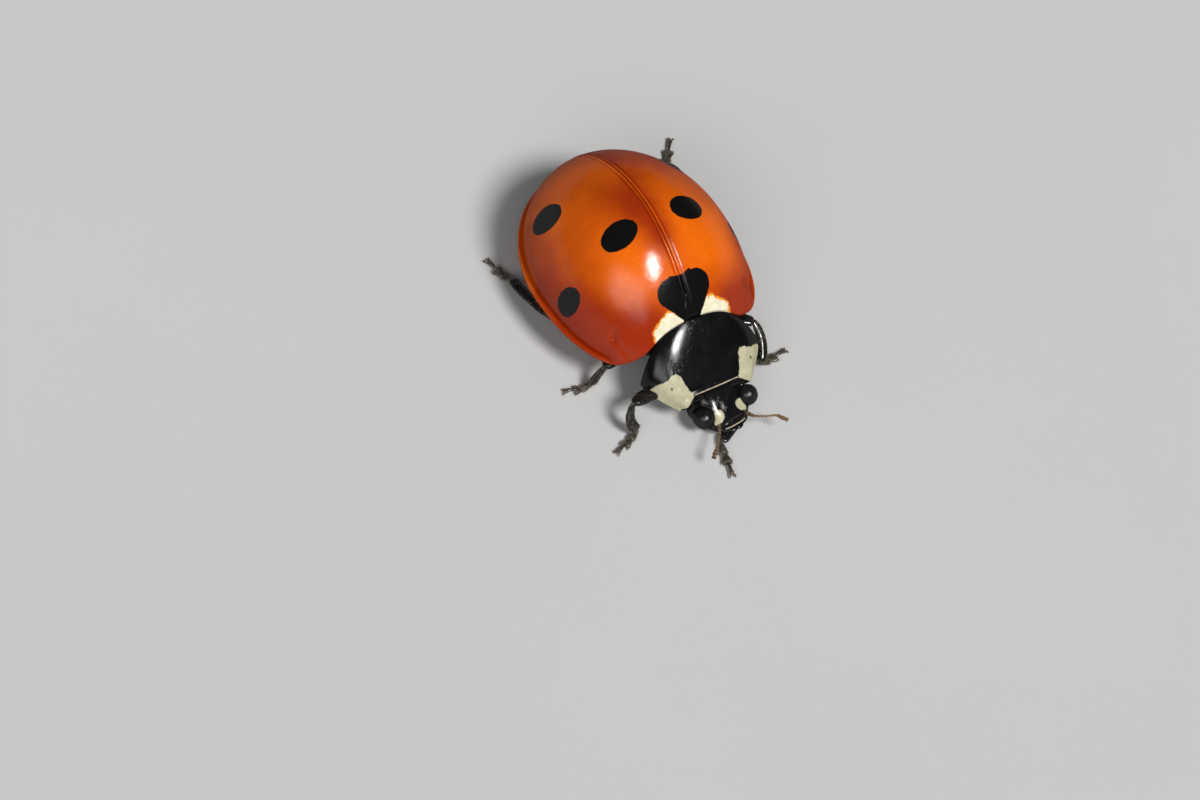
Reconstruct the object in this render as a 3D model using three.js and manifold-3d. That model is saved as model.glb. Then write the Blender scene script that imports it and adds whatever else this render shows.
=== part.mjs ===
// A seven-spot ladybird walking with its head low, life size, as one solid for each part of its body.
// Millimetres, +Z up, floor at z = 0. The head points to -Y and the insect's left side to +X.
import * as THREE from "three";
import { mergeVertices } from "three/addons/utils/BufferGeometryUtils.js";
import Module from "manifold-3d";

const wasm = await Module();
wasm.setup();

// Driving dimensions. Places along the body are measured from the crown of the wing cases.
const CROWN_Y = 1.05; // from the origin back to the crown
const HALF_WIDTH = 2.66; // midline to the widest point of the wing cases
const REAR_REACH = 3.31; // crown to the tail end
const FRONT_REACH = 3.3; // crown to where the outline of the wing cases would close in front
const RIM_HEIGHT = 1.28; // floor to the edge of the wing cases
const DOME_RISE = 2.73; // edge of the wing cases to their crown
const SHELL = 0.5; // thickness of a wing case
const GAP = 0.03; // clearance between neighbouring parts
const BELLY_DEPTH = 0.48; // edge of the wing cases down to the belly
const LIMB_WIDTH = 0.5; // thickest part of a leg
const FOOT_WIDTH = 0.42;
const FOOT_HEIGHT = 0.15; // floor to the middle line of a foot, whose underside is cut flat at z = 0
const FEELER_WIDTH = 0.42;
const EYE_RADIUS = 0.24;

const SHIELD_REAR_HALF_WIDTH = 1.64; // the pronotum, the shield behind the head
const SHIELD_NARROWING = 0.62;
const SHIELD_REAR_Y = -2.68;
const SHIELD_FRONT_Y = -4.06;
const CASE_FRONT_Y = -2.84; // front edge of the wing cases beside the pronotum

const paint = (colour, roughness) =>
  new THREE.MeshStandardMaterial({ color: colour, roughness, metalness: 0 });
const red = paint(0xc43a08, 0.3);
const black = paint(0x0c0b0b, 0.25);
const eyeBlack = paint(0x050505, 0.15);
const brown = paint(0x6b4420, 0.5);

const ladybird = new THREE.Group();
ladybird.position.y = CROWN_Y;

// Solids ---------------------------------------------------------------

// The solid of a closed geometry, with the triangles that shrink to a line left out.
function solidOf(geometry) {
  const bare = geometry.index ? geometry.toNonIndexed() : geometry.clone();
  bare.deleteAttribute("normal");
  bare.deleteAttribute("uv");
  const merged = mergeVertices(bare, 1e-5);
  const corners = merged.index.array;
  const kept = [];
  for (let i = 0; i < corners.length; i += 3) {
    const [a, b, c] = corners.slice(i, i + 3);
    if (a !== b && b !== c && c !== a) kept.push(a, b, c);
  }
  return new wasm.Manifold(
    new wasm.Mesh({
      numProp: 3,
      vertProperties: merged.attributes.position.array,
      triVerts: new Uint32Array(kept),
    }),
  );
}

// A closed geometry with each of its points moved to move(point).
function moulded(geometry, move) {
  const place = geometry.attributes.position;
  const point = new THREE.Vector3();
  for (let i = 0; i < place.count; i++) {
    point.fromBufferAttribute(place, i);
    place.setXYZ(i, ...move(point).toArray());
  }
  return solidOf(geometry);
}

// A sphere of unit radius, poles up and down, moulded by move(bearing, elevation) in radians.
function mouldedSphere(slices, stacks, move) {
  const sphere = new THREE.SphereGeometry(1, slices, stacks).rotateX(Math.PI / 2);
  return moulded(sphere, (p) =>
    move(Math.atan2(p.y, p.x), Math.asin(THREE.MathUtils.clamp(p.z, -1, 1))),
  );
}

function ellipsoid(centre, radii, slices = 12, stacks = 8) {
  const sphere = new THREE.SphereGeometry(1, slices, stacks).rotateX(Math.PI / 2);
  return solidOf(sphere.scale(...radii).translate(...centre));
}

function block(from, to) {
  const size = to.map((value, i) => value - from[i]);
  const middle = to.map((value, i) => (value + from[i]) / 2);
  return solidOf(new THREE.BoxGeometry(...size).translate(...middle));
}

// An upright prism between two heights on an outline of [x, y] points.
function prism(outline, low, high) {
  const shape = new THREE.Shape(outline.map(([x, y]) => new THREE.Vector2(x, y)));
  const solid = new THREE.ExtrudeGeometry(shape, { depth: high - low, bevelEnabled: false });
  return solidOf(solid.translate(0, 0, low));
}

function add(name, solid, material) {
  const { vertProperties, triVerts } = solid.getMesh();
  const geometry = new THREE.BufferGeometry();
  geometry.setAttribute("position", new THREE.BufferAttribute(vertProperties, 3));
  geometry.setIndex(new THREE.BufferAttribute(triVerts, 1));
  geometry.computeVertexNormals();
  const mesh = new THREE.Mesh(geometry, material);
  mesh.name = name;
  ladybird.add(mesh);
}

// A limb from one joint to the next: a lathed profile, flattened and laid along the joints' line.
// profile is a list of [distance along it from 0 to 1, radius from 0 to 1] of a limb with round ends.
function limb(from, to, profile, width, height, grow = 0) {
  const start = new THREE.Vector3(...from);
  const along = new THREE.Vector3(...to).sub(start);
  const length = along.length();
  const ends = [[-grow / length, 0], ...profile, [1 + grow / length, 0]];
  const points = ends.map(
    ([t, r]) => new THREE.Vector2(r === 0 ? 0 : (r * width) / 2 + grow, t * length),
  );
  const flat = (height / 2 + grow) / (width / 2 + grow);
  const direction = along.normalize();
  const across = new THREE.Vector3(0, 0, 1).cross(direction).normalize();
  const top = direction.clone().cross(across).negate();
  const turn = new THREE.Matrix4().makeBasis(across, direction, top.negate());
  if (turn.determinant() < 0) turn.makeBasis(across.negate(), direction, top);
  const lathe = new THREE.LatheGeometry(points, 8).scale(1, 1, flat);
  return solidOf(lathe.applyMatrix4(turn).translate(...start.toArray()));
}

// Wing cases and the body under them -----------------------------------

// Radius of the wing cases' outline at a bearing: a superellipse, squarer in front than behind.
function outline(bearing) {
  const ahead = Math.sin(bearing) < 0;
  const squareness = ahead ? 2.44 : 1.96;
  const reach = ahead ? FRONT_REACH : REAR_REACH;
  const x = Math.abs(Math.cos(bearing) / HALF_WIDTH) ** squareness;
  const y = Math.abs(Math.sin(bearing) / reach) ** squareness;
  return (x + y) ** (-1 / squareness);
}

// The dome sinks more evenly towards the head than to the sides and the tail.
function domeHeight(bearing, elevation, inset) {
  const ahead = Math.max(0, -Math.sin(bearing)) ** 2;
  const steepness = 1.28 + 0.5 * ahead;
  return RIM_HEIGHT + (DOME_RISE - inset) * Math.sin(elevation) ** steepness;
}

// A dome set in from the wing cases' surface, closed below by a bowl of some depth.
// blunt near 1 makes the bowl round, and near 0 makes it a straight-sided pot.
function dome(inset, depth, blunt, slices, stacks) {
  return mouldedSphere(slices, stacks, (bearing, elevation) => {
    const above = elevation >= 0;
    const reach = (outline(bearing) - inset) * Math.cos(elevation) ** (above ? 1 : blunt);
    const z = above
      ? domeHeight(bearing, elevation, inset)
      : RIM_HEIGHT + depth * Math.sin(elevation);
    return new THREE.Vector3(reach * Math.cos(bearing), reach * Math.sin(bearing), z);
  });
}

// Rear edge of the pronotum, which bows back in the middle.
const shieldRearY = (x) =>
  SHIELD_REAR_Y - 0.42 * Math.abs(x / SHIELD_REAR_HALF_WIDTH) ** 4;

// Front edge of the wing cases: it follows the pronotum, then swings back round the shoulders.
const caseFrontY = (x) =>
  Math.max(shieldRearY(x), CASE_FRONT_Y + 0.45 * Math.max(0, Math.abs(x) - 1.2) ** 2);

// All that lies ahead of an edge across the body, moved back by some clearance.
function aheadOf(edgeY, clearance) {
  const reach = 2.6;
  const edge = [];
  for (let x = -reach; x <= reach + 0.01; x += reach / 13) edge.push([x, edgeY(x) + clearance]);
  return prism([[-reach, -9], [reach, -9], ...edge.reverse()], -1, 5);
}

// The scutellum's outline, the small triangle between the roots of the wing cases.
const triangle = (grow) => [
  [-0.22 - grow, SHIELD_REAR_Y],
  [0.22 + grow, SHIELD_REAR_Y],
  [0, SHIELD_REAR_Y + 0.34 + 2 * grow],
];

function addWingCases() {
  const shell = dome(0, 0.25, 1, 44, 20).subtract(dome(SHELL, 1.2, 0.08, 24, 12));
  const cases = shell
    .subtract(aheadOf(caseFrontY, 2 * GAP))
    .subtract(prism(triangle(GAP), 1, 5));
  add("elytron_left", cases.intersect(block([GAP / 2, -5, 0], [5, 5, 5])), red);
  add("elytron_right", cases.intersect(block([-5, -5, 0], [-GAP / 2, 5, 5])), red);
  const notch = prism(triangle(0), 1, 5).subtract(aheadOf(shieldRearY, GAP));
  add("scutellum", shell.intersect(notch), black);
}

// The body under the wing cases, parted across into rings as it shows from below.
function addTrunk(sockets) {
  const rings = [
    ["mesothorax", -4, -1.25],
    ["metathorax", -1.25, 0.3],
    ["abdomen_1", 0.3, 0.95],
    ["abdomen_2", 0.95, 1.5],
    ["abdomen_3", 1.5, 2],
    ["abdomen_4", 2, 2.4],
    ["abdomen_5", 2.4, 4],
  ];
  const trunk = dome(SHELL + GAP, BELLY_DEPTH, 0.75, 24, 10).subtract(aheadOf(shieldRearY, 3 * GAP));
  for (const [name, front, rear] of rings) {
    const ring = trunk.intersect(block([-5, front + GAP / 2, 0], [5, rear - GAP / 2, 5]));
    add(name, sockets.reduce((solid, socket) => solid.subtract(socket), ring), black);
  }
}

// Pronotum and prothorax ------------------------------------------------

const shieldHalfWidth = (t) => SHIELD_REAR_HALF_WIDTH - SHIELD_NARROWING * t ** 1.7;
const shieldMarginZ = (t) => 1.13 - 0.4 * t ** 1.6;
const shieldCrestZ = (t) => 2.33 - 1.21 * t + 0.28 * t * (1 - t);

// A point of the pronotum's upper side: s runs across from -1 to 1 and t from rear to front.
function shieldTop(s, t) {
  const x = s * shieldHalfWidth(t);
  const frontY = SHIELD_FRONT_Y + 0.08 * s * s;
  const y = THREE.MathUtils.lerp(shieldRearY(x), frontY, t);
  const bulge = (1 - Math.abs(s) ** (2.4 + 2.6 * t)) ** (0.8 - 0.1 * t);
  const z = THREE.MathUtils.lerp(shieldMarginZ(t), shieldCrestZ(t), bulge);
  return new THREE.Vector3(x, y, z);
}

// Under it the sides turn inwards, and the middle is one shell thinner.
function shieldUnder(s, t, clearance) {
  const p = shieldTop(s, t);
  const side = Math.abs(s) ** 3;
  p.x *= 1 - 0.3 * s * s;
  p.z -= SHELL - 0.4 * side + clearance;
  return p;
}

function shield(clearance) {
  const box = new THREE.BoxGeometry(2, 1, 1, 12, 5, 1);
  return moulded(box, (p) => {
    const s = Math.sin((p.x * Math.PI) / 2);
    const t = 0.5 - p.y;
    if (p.z < 0) return shieldUnder(s, t, clearance);
    const top = shieldTop(s, t);
    top.z += clearance;
    return top;
  });
}

function addProthorax(sockets) {
  add("pronotum", shield(0), black);
  const core = ellipsoid([0, -3.34, 1.18], [1.2, 0.6, 0.48], 14, 8);
  const fitted = core.subtract(shield(GAP)).subtract(shield(GAP).translate([0, 0, 0.3]));
  add("prothorax", sockets.reduce((solid, socket) => solid.subtract(socket), fitted), black);
}

// Head --------------------------------------------------------------------

const HEAD_CENTRE = [0, -4.25, 0.5];

// A capsule arched above and nearly flat below, narrower towards the mouth.
function headCapsule(grow) {
  const [cx, cy, cz] = HEAD_CENTRE;
  return mouldedSphere(18, 10, (bearing, elevation) => {
    const reach = Math.cos(elevation);
    const y = (0.85 + grow) * reach * Math.sin(bearing);
    const width = 0.9 + grow - 0.16 * Math.max(0, -y) ** 2;
    const height = elevation > 0 ? 0.6 : 0.13;
    const z = cz + (height + grow) * Math.sin(elevation);
    return new THREE.Vector3(cx + width * reach * Math.cos(bearing), cy + y, z);
  });
}

function eye(side, grow) {
  const radius = EYE_RADIUS + grow;
  return ellipsoid([side * 0.7, -4.47, 0.77], [radius * 0.9, radius, radius], 10, 8);
}

function feelerJoints(side) {
  const root = [side * 0.43, -4.88, 0.8];
  const elbow = [side * 0.52, -5.12, 0.78];
  const middle = [side * 0.95, -5.38, 0.76];
  const tip = [side * 1.16, -5.6, 0.74];
  return { root, elbow, middle, tip };
}

const ROUND_ENDS = [[0.12, 0.75], [0.3, 1], [0.7, 1], [0.88, 0.75]];
const CLUB = [[0.12, 0.6], [0.35, 0.85], [0.7, 1], [0.9, 0.7]];

function addFeeler(side, word, head) {
  const { root, elbow, middle, tip } = feelerJoints(side);
  const thin = FEELER_WIDTH * 0.9;
  const scape = (grow) => limb(root, elbow, ROUND_ENDS, thin, thin, grow);
  const stem = (grow) => limb(elbow, middle, ROUND_ENDS, thin, thin, grow);
  const club = limb(middle, tip, CLUB, FEELER_WIDTH, FEELER_WIDTH);
  add(`antenna_${word}_scape`, scape(0).subtract(head).subtract(eye(side, GAP)), brown);
  add(`antenna_${word}_stem`, stem(0).subtract(scape(GAP)).subtract(head), brown);
  add(`antenna_${word}_club`, club.subtract(stem(GAP)), brown);
}

function addHead(prothoraxCut) {
  const capsule = headCapsule(0).subtract(eye(-1, GAP)).subtract(eye(1, GAP));
  const shieldCut = shield(GAP);
  add("head", capsule.subtract(shieldCut).subtract(prothoraxCut), black);
  const grown = headCapsule(GAP);
  for (const [side, word] of [[1, "left"], [-1, "right"]]) {
    add(`eye_${word}`, eye(side, 0).subtract(shieldCut), eyeBlack);
    addFeeler(side, word, grown);
    const palp = limb(
      [side * 0.3, -4.86, 0.5], [side * 0.44, -5.2, 0.46], CLUB, 0.3, 0.24,
    );
    add(`palp_${word}`, palp.subtract(grown).subtract(labrum(GAP)), brown);
  }
  add("labrum", labrum(0).subtract(grown), black);
}

const labrum = (grow) =>
  ellipsoid([0, -5.02, 0.56], [0.26 + grow, 0.17 + grow, 0.13 + grow], 12, 6);

// Legs ----------------------------------------------------------------------

// Joints of each leg: root of the thigh, knee, ankle and tip of the foot.
const LEGS = {
  front_right: [[-0.62, -3.25, 0.8], [-2.03, -3.54, 1.18], [-2.01, -3.75, 0.26], [-2.76, -4.05, 0.2]],
  front_left: [[0.62, -3.25, 0.8], [0.7, -4.4, 0.27], [-0.36, -4.98, 0.2], [-0.6, -5.96, 0.2]],
  middle_right: [[-0.7, -1.65, 0.8], [-1.98, -2.12, 0.9], [-2.27, -2.02, 0.26], [-2.95, -1.82, 0.2]],
  middle_left: [[0.7, -1.65, 0.8], [1.93, -2.6, 0.9], [1.76, -3.37, 0.26], [2.61, -3.24, 0.2]],
  hind_right: [[-0.85, 0.05, 0.8], [-2.4, -0.1, 0.8], [-2.38, 1.66, 0.32], [-2.55, 2.63, 0.2]],
  hind_left: [[0.95, 0.2, 0.8], [2.58, 1.4, 0.85], [2.88, 3.03, 0.32], [3.55, 3.85, 0.2]],
};
const COXAE = { front: [0.5, -3.2, 0.3], middle: [0.6, -1.6, 0.32], hind: [0.75, -0.02, 0.42] };
const THIGH = [[0.08, 0.6], [0.3, 0.95], [0.6, 1], [0.85, 0.85], [0.96, 0.5]];
const SHIN = [[0.06, 0.6], [0.25, 0.85], [0.7, 1], [0.92, 0.8]];
const FOOT = [[0.05, 0.55], [0.3, 0.9], [0.6, 1], [0.9, 0.7]];

function coxa(leg, grow) {
  const side = leg.endsWith("left") ? 1 : -1;
  const [x, y, width] = COXAE[leg.split("_")[0]];
  return ellipsoid([side * x, y, 0.84], [width + grow, 0.25 + grow, 0.25 + grow], 10, 6);
}

// The left front leg reaches forward under the head, so its shin is flatter.
const shinHeight = (leg) => (leg === "front_left" ? 0.26 : LIMB_WIDTH * 0.9);
const thighHeight = (leg) => (leg === "front_left" ? 0.36 : LIMB_WIDTH);

function addLeg(leg, cover) {
  const [root, knee, ankle, tip] = LEGS[leg];
  const floor = block([-9, -9, -3], [9, 9, 0]);
  const thigh = (grow) => limb(root, knee, THIGH, LIMB_WIDTH, thighHeight(leg), grow);
  const shin = (grow) => limb(knee, ankle, SHIN, LIMB_WIDTH * 0.9, shinHeight(leg), grow);
  const onFloor = ([x, y]) => [x, y, FOOT_HEIGHT];
  const foot = (grow) => limb(onFloor(ankle), onFloor(tip), FOOT, FOOT_WIDTH, FOOT_WIDTH, grow);
  add(`leg_${leg}_coxa`, coxa(leg, 0).subtract(thigh(GAP)), black);
  add(`leg_${leg}_femur`, thigh(0).subtract(cover).subtract(shin(GAP)), black);
  add(`leg_${leg}_tibia`, shin(0).subtract(foot(GAP)).subtract(floor), black);
  add(`leg_${leg}_tarsus`, foot(0).subtract(floor), black);
}

// Assembly --------------------------------------------------------------------

const names = Object.keys(LEGS);
const coxaSockets = names.map((leg) => coxa(leg, GAP));
const thighSockets = names.map((leg) =>
  limb(LEGS[leg][0], LEGS[leg][1], THIGH, LIMB_WIDTH, thighHeight(leg), GAP),
);
const sockets = [...coxaSockets, ...thighSockets];

addWingCases();
addTrunk(sockets);
addProthorax(sockets);
addHead(ellipsoid([0, -3.34, 1.18], [1.2 + GAP, 0.6 + GAP, 0.48 + GAP], 14, 8));
const cover = shield(GAP).add(headCapsule(GAP));
for (const leg of names) addLeg(leg, cover);

export default ladybird;
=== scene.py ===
import math

import bmesh
import bpy
import numpy as np
from mathutils import Matrix, Vector
from numpy import array, clip, concatenate, cos, exp, hypot, linspace, maximum, minimum, radians, sin, sqrt
from numpy import stack, where


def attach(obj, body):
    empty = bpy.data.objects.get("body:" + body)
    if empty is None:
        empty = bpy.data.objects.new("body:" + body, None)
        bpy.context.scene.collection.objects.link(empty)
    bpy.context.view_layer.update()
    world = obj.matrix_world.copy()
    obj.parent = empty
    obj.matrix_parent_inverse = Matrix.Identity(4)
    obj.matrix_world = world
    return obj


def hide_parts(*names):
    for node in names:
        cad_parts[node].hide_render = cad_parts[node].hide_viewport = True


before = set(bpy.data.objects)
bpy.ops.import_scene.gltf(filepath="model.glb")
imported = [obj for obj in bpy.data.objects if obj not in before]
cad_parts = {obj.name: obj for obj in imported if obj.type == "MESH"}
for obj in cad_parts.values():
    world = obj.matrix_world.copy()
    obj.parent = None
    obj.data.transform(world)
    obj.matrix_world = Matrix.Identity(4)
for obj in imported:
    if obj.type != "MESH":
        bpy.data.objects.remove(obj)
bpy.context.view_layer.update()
print("frame loaded,", len(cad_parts), "solids")

chance = np.random.default_rng(7)  # every random draw comes from here, in order
mm = 0.001
crownY = 1.05  # all points below are in mm from the floor and from the crown of the wing cases
sides = {"left": 1, "right": -1}
lowest = {"skin": 0.002, "bristle": 0.003, "foot": 0.004}  # nothing comes nearer to the floor, in mm


# mesh helpers

def smoothStep(low, high, value):
    t = clip((value - low) / (high - low), 0, 1)
    return t * t * (3 - 2 * t)


def hill(*distances):
    # 1 where each distance is 0, falling off over the width given with it
    return exp(-sum((away / width) ** 2 for away, width in distances))


def roundEnds(t, start, end):
    # closes a limb over these shares of its length at either end
    return sqrt(clip(t / start, 0, 1)) * sqrt(clip((1 - t) / end, 0, 1))


def unit(vectors):
    v = np.asarray(vectors, float)
    return v / maximum(np.linalg.norm(v, axis=-1, keepdims=True), 1e-12)


def bearings(around):
    return linspace(0, 2 * math.pi, around, endpoint=False)


def ballGrid(around, rows):
    # bearings and elevations all over a ball, from the top down
    return np.meshgrid(bearings(around), radians(linspace(90, -90, rows)))


def unitBall(around, rows):
    b, e = ballGrid(around, rows)
    return cos(e) * cos(b), cos(e) * sin(b), sin(e)


def furthest(inside, like, limit):
    # how far out each ray still passes the test, by halving
    low, high = np.zeros_like(like), np.full_like(like, limit)
    for _ in range(40):
        middle = (low + high) / 2
        passes = inside(middle)
        low, high = where(passes, middle, low), where(passes, high, middle)
    return low


def gridFaces(rows, columns, start=0, around=False):
    across = np.arange(columns if around else columns - 1)
    r, c = np.meshgrid(np.arange(rows - 1), across, indexing="ij")
    n = (c + 1) % columns
    quads = [r * columns + c, r * columns + n, (r + 1) * columns + n, (r + 1) * columns + c]
    return (stack(quads, -1).reshape(-1, 4) + start).tolist()


def joinParts(*parts):
    # parts are grids of points, shape (rows, columns, 3), each closed around its columns
    points, faces, start = [], [], 0
    for grid in parts:
        points.append(grid.reshape(-1, 3))
        faces += gridFaces(grid.shape[0], grid.shape[1], start, around=True)
        start += grid.shape[0] * grid.shape[1]
    return concatenate(points), faces


def newMesh(name, points, faces, material):
    mesh = bpy.data.meshes.new(name)
    mesh.from_pydata(((points + (0, crownY, 0)) * mm).tolist(), [], faces)
    mesh.materials.append(material)
    return mesh


def addPiece(name, mesh):
    piece = bpy.data.objects.new(name, mesh)
    bpy.context.scene.collection.objects.link(piece)
    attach(piece, "root")
    return piece


unmarked = {"creamEdge": 1, "paleEdge": 1}  # a mm outside every marking


def makePiece(name, skin, look, marks=unmarked, nodes=(), sharpAngle=55):
    points, faces = skin
    mesh = newMesh(name, maximum(points, (-np.inf, -np.inf, lowest["skin"])), faces, finish[look])
    for mark, values in marks.items():
        layer = mesh.attributes.new(mark, "FLOAT", "POINT")
        layer.data.foreach_set("value", np.broadcast_to(np.ravel(values), len(points)).astype(np.float32))
    bm = bmesh.new()
    bm.from_mesh(mesh)
    bmesh.ops.remove_doubles(bm, verts=bm.verts, dist=2e-7)
    bmesh.ops.dissolve_degenerate(bm, edges=bm.edges, dist=1e-8)
    bmesh.ops.recalc_face_normals(bm, faces=bm.faces)
    for face in bm.faces:
        face.smooth = True
    sharp = radians(sharpAngle)
    for edge in bm.edges:
        edge.smooth = len(edge.link_faces) != 2 or edge.calc_face_angle(0) <= sharp
    bm.to_mesh(mesh)
    bm.free()
    piece = addPiece(name, mesh)
    if nodes:
        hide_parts(*nodes)


def smoothPath(points, count, perSpan=24):
    # Catmull-Rom curve through the points, evenly sampled
    p = np.asarray(points, float)
    p = np.vstack([2 * p[0] - p[1], p, 2 * p[-1] - p[-2]])
    t = linspace(0, 1, perSpan, endpoint=False)[:, None]
    out = []
    for a, b, c, d in zip(p, p[1:], p[2:], p[3:]):
        bend, twist = 2 * a - 5 * b + 4 * c - d, 3 * b - a - 3 * c + d
        out.append(0.5 * (2 * b + (c - a) * t + bend * t**2 + twist * t**3))
    curve = np.vstack(out + [p[-2:-1]])
    reach = concatenate([[0], np.cumsum(np.linalg.norm(np.diff(curve, axis=0), axis=1))])
    at = linspace(0, reach[-1], count)
    return stack([np.interp(at, reach, curve[:, k]) for k in range(3)], 1)


def sweep(path, widths, heights, around, top=(0, 0, 1), edge=2.0):
    # a closed skin round a path; edge above 2 squares the section off, below 2 gives it keels
    path = np.asarray(path, float)
    along = unit(np.gradient(path, axis=0))
    across = unit(np.cross(along, top))
    over = np.cross(across, along)
    c, s = (np.sign(v) * abs(v) ** (2 / edge) for v in (cos(bearings(around)), sin(bearings(around))))
    w = np.asarray(widths, float)[:, None, None] / 2
    h = np.asarray(heights, float)[:, None, None] / 2
    return path[:, None] + across[:, None] * w * c[None, :, None] + over[:, None] * h * s[None, :, None]


def profile(count, stops):
    # a width profile along a limb, closed at both ends
    t = 0.5 - 0.5 * cos(linspace(0, math.pi, count))
    at, value = array([(0, 0), *stops, (1, 0)], float).T
    return t, np.interp(t, at, value) * roundEnds(t, 0.06, 0.06)


def alongLine(start, end, t, sag=(0, 0, 0)):
    t = t[:, None]
    return array(start) + np.subtract(end, start) * t + array(sag) * (4 * t * (1 - t))


# material helpers

def newFinish(name):
    m = bpy.data.materials.new(name)
    m.use_nodes = True
    return m, m.node_tree.nodes["Principled BSDF"]


def wire(m, kind, inputs=None, **settings):
    node = m.node_tree.nodes.new("ShaderNode" + kind)
    for key, value in settings.items():
        setattr(node, key, value)
    for key, value in (inputs or {}).items():
        if isinstance(value, bpy.types.NodeSocket):
            m.node_tree.links.new(value, node.inputs[key])
        else:
            node.inputs[key].default_value = value
    return node


def place(m):
    return wire(m, "TexCoord").outputs["Object"]


def grain(m, perMm, detail=3.0):
    inputs = {"Vector": place(m), "Scale": perMm / mm, "Detail": detail, "Roughness": 0.55}
    return wire(m, "TexNoise", inputs).outputs["Fac"]


def pits(m, perMm):
    return wire(m, "TexVoronoi", {"Vector": place(m), "Scale": perMm / mm}).outputs["Distance"]


def maths(m, operation, a, b=0.0, c=0.0):
    return wire(m, "Math", {0: a, 1: b, 2: c}, operation=operation).outputs[0]


def spread(m, value, low, high, toLow=0.0, toHigh=1.0):
    inputs = {"Value": value, "From Min": low, "From Max": high, "To Min": toLow, "To Max": toHigh}
    return wire(m, "MapRange", inputs, interpolation_type="SMOOTHSTEP").outputs[0]


def blendColour(m, factor, a, b):
    a, b = (v if isinstance(v, bpy.types.NodeSocket) else (*v, 1) for v in (a, b))
    return wire(m, "Mix", {0: factor, 6: a, 7: b}, data_type="RGBA").outputs[2]


def mark(m, name):
    return wire(m, "Attribute", attribute_name=name).outputs["Fac"]


def insideMark(m, name, wobble, perMm, softness):
    # 1 inside a marking whose edge is the zero of a distance in mm, roughened by grain
    noise = maths(m, "SUBTRACT", grain(m, perMm, 2.0), 0.5)
    ragged = maths(m, "MULTIPLY_ADD", noise, wobble * 2, mark(m, name))
    return spread(m, ragged, -softness, softness, 1.0, 0.0)


def colourOf(m, shader, socket):
    m.node_tree.links.new(socket, shader.inputs["Base Color"])


def bumpy(m, shader, layers):
    # layers of (height socket, depth in mm)
    normal = None
    for height, depth in layers:
        inputs = {"Height": height, "Distance": depth * mm}
        if normal is not None:
            inputs["Normal"] = normal
        normal = wire(m, "Bump", inputs).outputs[0]
    for socket in ("Normal", "Coat Normal"):
        m.node_tree.links.new(normal, shader.inputs[socket])


def glossy(m, shader, look, perMm):
    # all the gloss is in a thin strong coat, so that steep sides stay as dark as level ones
    rough = spread(m, grain(m, perMm), 0.3, 0.7, *look["roughness"])
    m.node_tree.links.new(rough, shader.inputs["Roughness"])
    coat = {"Coat Weight": look["coat"], "Coat Roughness": look["coatRoughness"], "Coat IOR": 3.0}
    for socket, value in {**coat, "IOR": 1.01}.items():
        shader.inputs[socket].default_value = value


# finishes

blackTone = (0.0026, 0.0025, 0.0027)
lacquerLook = {
    "bright": (0.75, 0.128, 0.0015), "deep": (0.28, 0.02, 0.001), "clouds": 0.9, "flecks": 0.16,
    "cream": (0.66, 0.6, 0.41), "creamLight": (0.77, 0.72, 0.54),
    "creamRim": (0.82, 0.3, 0.03), "rimShare": 0.85,
    "roughness": (0.26, 0.35), "coat": 0.115, "coatRoughness": 0.17,
    # how far each marking's edge wanders in mm, its grains for each mm and its softness in mm
    "creamRimEdge": (0.06, 9, 0.022), "creamEdge": (0.095, 11, 0.01), "spotEdge": (0.022, 9, 0.01),
}


def wingCaseFinish(look):
    m, shader = newFinish("wingCaseLacquer")
    clouds = maths(m, "SUBTRACT", grain(m, 0.55, 3.0), 0.5)
    # the red deepens with random clouds and with the painted shade and painted light that wingCaseMarks lays
    # on each case
    depth = maths(m, "MULTIPLY_ADD", clouds, look["clouds"], mark(m, "rednessAndShading"))
    colour = blendColour(m, spread(m, depth, 0.0, 1.0), look["bright"], look["deep"])
    fleck = spread(m, grain(m, 16, 2.0), 0.35, 0.75, 0.0, look["flecks"])
    colour = blendColour(m, fleck, colour, look["deep"])
    rim = insideMark(m, "creamRim", *look["creamRimEdge"])
    colour = blendColour(m, maths(m, "MULTIPLY", rim, look["rimShare"]), colour, look["creamRim"])
    cream = blendColour(m, spread(m, grain(m, 7), 0.3, 0.7), look["cream"], look["creamLight"])
    colour = blendColour(m, insideMark(m, "creamEdge", *look["creamEdge"]), colour, cream)
    colour = blendColour(m, insideMark(m, "spotEdge", *look["spotEdge"]), colour, blackTone)
    colourOf(m, shader, colour)
    pitted = spread(m, pits(m, 13), 0.0, 0.36)
    bumpy(m, shader, [(grain(m, 1.6, 2.0), 0.012), (pitted, 0.001), (grain(m, 60, 2.0), 0.0006)])
    glossy(m, shader, look, 5)
    return m


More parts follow.
